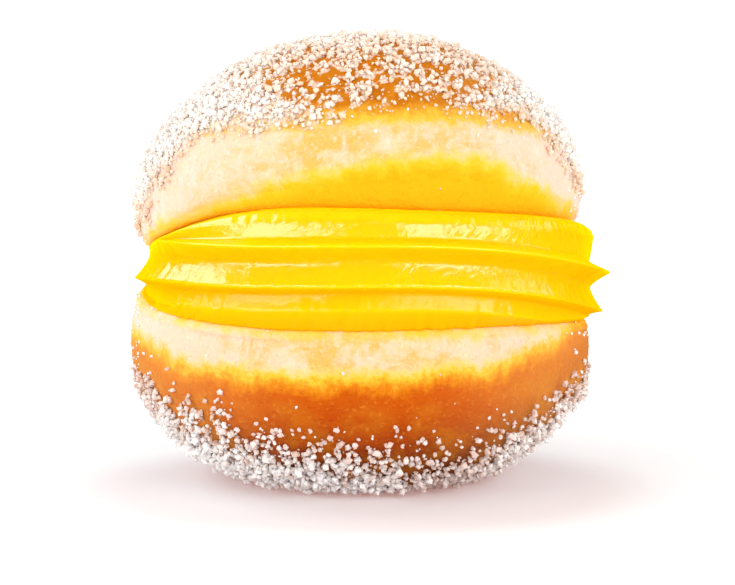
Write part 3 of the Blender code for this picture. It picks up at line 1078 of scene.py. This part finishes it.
def dough_material():
    """Pale round the waist, browned to a crust above and below, stained yellow at the mouth, with
    painted yellow-orange shade under the lid's lip.
    """
    material, finish = new_material("dough")
    place = finish.place()
    browning, stain, crumb, dusted = finish.attributes("browning", "stain", "crumb", "dusted")
    across = finish.part(place, "X")
    cloud = finish.noise(place, 9.0)
    mottle = finish.noise(place, 2.6, detail=4)
    grain = finish.noise(place, 0.8, detail=3)
    streak = finish.noise(finish.stretch(place, (1, 1, 0.22)), 2.4, detail=4)

    # The pale band: cream, whiter in wisps, in upright streaks and towards the sides.
    aside = finish.step(finish.node("Math", {"operation": "ABSOLUTE"}, {0: across}), 8, 40)
    wisp = finish.noise(finish.stretch(place, (0.7, 0.7, 1)), 3.4, 6, 0.65, 0.6)
    whiter = finish.step(wisp * 0.6 + cloud * 0.4 + aside * 0.14, 0.42, 0.62)
    pale = finish.mix(whiter, CREAM, PALE_WISP)
    pale = finish.mix(aside * 0.5, pale, PALE_SIDE)
    pale = finish.mix(finish.step(streak, 0.52, 0.70) * 0.5, pale, PALE_STREAK)
    pale = finish.mix(finish.step(grain, 0.52, 0.72) * 0.45, pale, PALE_GRAIN)

    # The crust, which darkens away from its mottled edge. The lid's stays more golden.
    depth = browning + (mottle - 0.5) * 4.0 + (grain - 0.5) * 3.0 + (streak - 0.5) * 2.0
    crust = finish.ramp((depth + 4.0) / BROWNING_DEPTH, BROWNING_STOPS)
    deep = finish.step(depth, 1, 4) * finish.step(cloud, 0.42, 0.66)
    crust = finish.mix(deep * 0.4, crust, CRUST_CLOUD)
    crust = finish.mix(aside * 0.4, crust, CRUST_SIDE)
    crust = finish.mix(finish.step(grain, 0.56, 0.70) * 0.25, crust, CRUST_GRAIN)
    golden = finish.mix(finish.step(depth, -2.5, 1.5), LID_CRUST_PALE, LID_CRUST_DEEP)
    golden = finish.mix(aside * 0.4, golden, LID_CRUST_SIDE)
    upper = finish.step(finish.part(place, "Z"), 40, 50)
    crust = finish.mix(upper * 0.75, crust, golden)
    colour = finish.mix(finish.step(depth, -5.2, -2.4), pale, crust)

    # Custard soaked into the skin and the cut crumb, partly painted yellow-orange shade and bounce
    # light under the lid's lip, and a film of fine sugar over all.
    soaked_and_shaded = stain + (mottle - 0.5) * 5.0 + (cloud - 0.5) * 6.0
    stain_and_shade_colour = finish.mix(finish.step(soaked_and_shaded, 0.0, 4.5), THIN_STAIN_AND_SHADE, SOAKED_STAIN_AND_SHADE)
    colour = finish.mix(finish.step(soaked_and_shaded, -2.2, 1.8), colour, stain_and_shade_colour)
    colour = finish.mix(crumb * 0.9, colour, SOAKED_CRUMB_AND_SHADE)
    film = finish.step(dusted + (grain - 0.5) * 0.8, 0.25, 0.65)
    colour = finish.mix(film * 0.8, colour, SUGAR_FILM)

    pores = finish.node("TexVoronoi", {}, {"Vector": place, "Scale": 1 / 0.9})
    height = grain * 0.5 + mottle * 0.8 + finish.step(pores, 0.05, 0.5) * 0.35
    normal = finish.bump(height, 0.30)
    sockets = {
        "Base Color": colour,
        "Roughness": finish.step(browning, -2, 6) * -0.22 + 0.72,
        "Specular IOR Level": 0.06,
        "Subsurface Weight": 0.6,
        "Subsurface Radius": (2.0, 1.0, 0.35),
        "Subsurface Scale": 1 * MM,
        "Normal": normal,
    }
    finish.surface(finish.principled(sockets))
    return material


def custard_material():
    """Thick wet custard: deep yellow, glossy, with fine ripples that break up its highlights."""
    material, finish = new_material("custard")
    place = finish.place()
    crest, along, height, level = finish.attributes("crest", "along", "height", "level")
    cloud = finish.noise(place, 7.0)
    leaning = {"X": (along - height) * 0.8, "Y": (along + height) * 0.35}
    ripple = finish.noise(finish.node("CombineXYZ", {}, leaning), 0.8, detail=2)
    speck = finish.noise(place, 0.45, detail=2)
    # Painted light and shade: lighter on the crests and higher up, deeper yellow in the valleys and
    # lower down.
    lit_share = finish.step(crest, 0.1, 1.0) * 0.35 + finish.step(height, 0.0, 12.0) * 0.6
    colour = finish.mix(lit_share + cloud * 0.2 - 0.08, CUSTARD_SHADED, CUSTARD_LIT)
    patch = finish.step(finish.noise(place, 6.0, detail=2), 0.38, 0.60)
    normal = finish.bump(ripple * (patch * 0.7 + 0.3) + speck * 0.08, 0.24)
    body = {
        "Base Color": colour,
        "Subsurface Weight": 0.6,
        "Subsurface Radius": (3.5, 1.9, 0.1),
        "Subsurface Scale": 1 * MM,
    }
    matt = finish.principled({**body, "Roughness": 0.6, "Specular IOR Level": 0.0})
    gloss = {"Roughness": 0.13, "IOR": 1.65, "Specular Tint": opaque(CUSTARD_SHEEN)}
    wet = finish.principled({**body, **gloss, "Normal": normal})
    facing = finish.node("LayerWeight", {}, {"Blend": 0.5}, output="Facing")
    edge_on = finish.step(facing, 0.5, 0.9)
    wetness = (finish.step(level, 2.6, 3.2) * 0.6 + 0.4) * (1 - edge_on)
    finish.surface(finish.node("MixShader", {}, {0: wetness, 1: matt, 2: wet}))
    return material


def sugar_material(name, tones):
    """Milky crystals. Those that lie alone let more of the crust's warmth through."""
    material, finish = new_material(name)
    (tint,) = finish.attributes("tint")
    frost = finish.noise(finish.place(), 0.3, detail=2)
    colour = finish.ramp(tint * 0.8 + frost * 0.2, list(zip((0.20, 0.52, 0.9), tones)))
    sockets = {
        "Base Color": colour,
        "Roughness": 0.25,
        "IOR": 1.5,
        "Subsurface Weight": 0.25,
        "Subsurface Radius": (0.6, 0.5, 0.45),
        "Subsurface Scale": 1 * MM,
    }
    finish.surface(finish.principled(sockets))
    return material


def floor_material():
    """Pale paper with a painted glow, as if lit from beneath, which dims round the bun and so
    paints a soft shadow there.
    """
    material, finish = new_material("paper_floor")
    place = finish.place()
    tooth = finish.noise(place, 0.6, detail=2)
    ahead = finish.node("VectorMath", {"operation": "ADD"}, {0: place, 1: SHADE_AHEAD})
    oval = finish.stretch(ahead, SHADE_OVAL)
    distance = finish.node("VectorMath", {"operation": "LENGTH"}, {0: oval}, output="Value")
    # Painted shadow: the glow fades to the shade colour near the bun.
    away = finish.step(distance, 46, 72) * 0.42 + finish.step(distance, 70, 400) * 0.58
    painted_glow = finish.mix(away, SHADE, OPEN_FLOOR)
    sockets = {
        "Base Color": opaque(PAPER),
        "Roughness": 0.95,
        "Specular IOR Level": 0.0,
        "Emission Color": painted_glow,
        "Emission Strength": 1.0,
        "Normal": finish.bump(tooth, 0.02),
    }
    finish.surface(finish.principled(sockets))
    return material


def build_floor():
    half = FLOOR_HALF_WIDTH
    corners = [(-half, -half), (half, -half), (half, half), (-half, half)]
    floor = mesh_object("floor", [(x, y, -FLOOR_GAP) for x, y in corners], [(0, 1, 2, 3)])
    floor.data.materials.append(floor_material())
    floor.visible_glossy = False


def add_light(name, kind, direction, strength, spread):
    """A soft light: a sheet in metres, or a fill whose spread is in degrees, out of reflections.

    The direction points from the bun to the light.
    """
    light = bpy.data.lights.new(name, kind)
    light.energy = strength
    light.color = LIGHT_COLOUR
    lamp = bpy.data.objects.new(name, light)
    towards = Vector(direction).normalized()
    lamp.rotation_euler = towards.to_track_quat("Z", "Y").to_euler()
    if kind == "SUN":
        light.angle = math.radians(spread)
        lamp.visible_glossy = False
    else:
        light.shape = "RECTANGLE"
        light.size, light.size_y = spread
        lamp.location = AIM + towards * SOFTBOX_DISTANCE
    bpy.context.scene.collection.objects.link(lamp)


def light_studio():
    """Softboxes beside the camera and behind the bun, wide fills and a bright room."""
    for light in (
        ("left_softbox", "AREA", (-0.80, -0.58, 0.36), 5.9, (1.00, 0.36)),
        ("right_softbox", "AREA", (0.68, -0.73, 0.44), 6.4, (0.98, 0.38)),
        ("back_left_softbox", "AREA", (-0.77, 0.34, 0.56), 4.4, (0.80, 0.40)),
        ("back_right_softbox", "AREA", (0.84, 0.24, 0.56), 0.9, (0.60, 0.30)),
        ("front_fill", "SUN", (0.0, -1.0, 0.05), 0.42, 90),
        ("right_fill", "SUN", (1.0, -0.1, 0.10), 0.35, 90),
        ("top_fill", "SUN", (0.1, 0.0, 1.0), 0.45, 120),
    ):
        add_light(*light)
    world = bpy.data.worlds.new("studio")
    bpy.context.scene.world = world
    world.use_nodes = True
    world.cycles_visibility.glossy = False
    room = Finish(world.node_tree)
    background = room.node("Background", {}, {"Color": (1, 1, 1, 1), "Strength": ROOM_STRENGTH})
    room.node("OutputWorld", {}, {"Surface": background})


def place_camera():
    camera = bpy.data.cameras.new("camera")
    camera.lens = LENS
    camera.clip_start = 10 * MM
    camera.clip_end = 100
    back = Vector((0, -math.cos(CAMERA_ELEVATION), math.sin(CAMERA_ELEVATION)))
    viewer = bpy.data.objects.new("camera", camera)
    viewer.location = AIM + back * CAMERA_DISTANCE
    viewer.rotation_euler = back.to_track_quat("Z", "Y").to_euler()
    bpy.context.scene.collection.objects.link(viewer)
    bpy.context.scene.camera = viewer


dough = build_bun()
dough.data.materials.append(dough_material())
custard = build_custard()
custard.data.materials.append(custard_material())
dry_sugar = sugar_material("dry_sugar", DRY_TONES)
# The second sugar is brighter, as painted light that lifts the shade under the bun.
shade_lifted_sugar = sugar_material("shade_lifted_sugar", SHADE_LIFTED_TONES)
sprinkle(dough, dry_sugar, shade_lifted_sugar)
build_floor()
light_studio()
place_camera()
bpy.context.scene.view_settings.view_transform = "Standard"
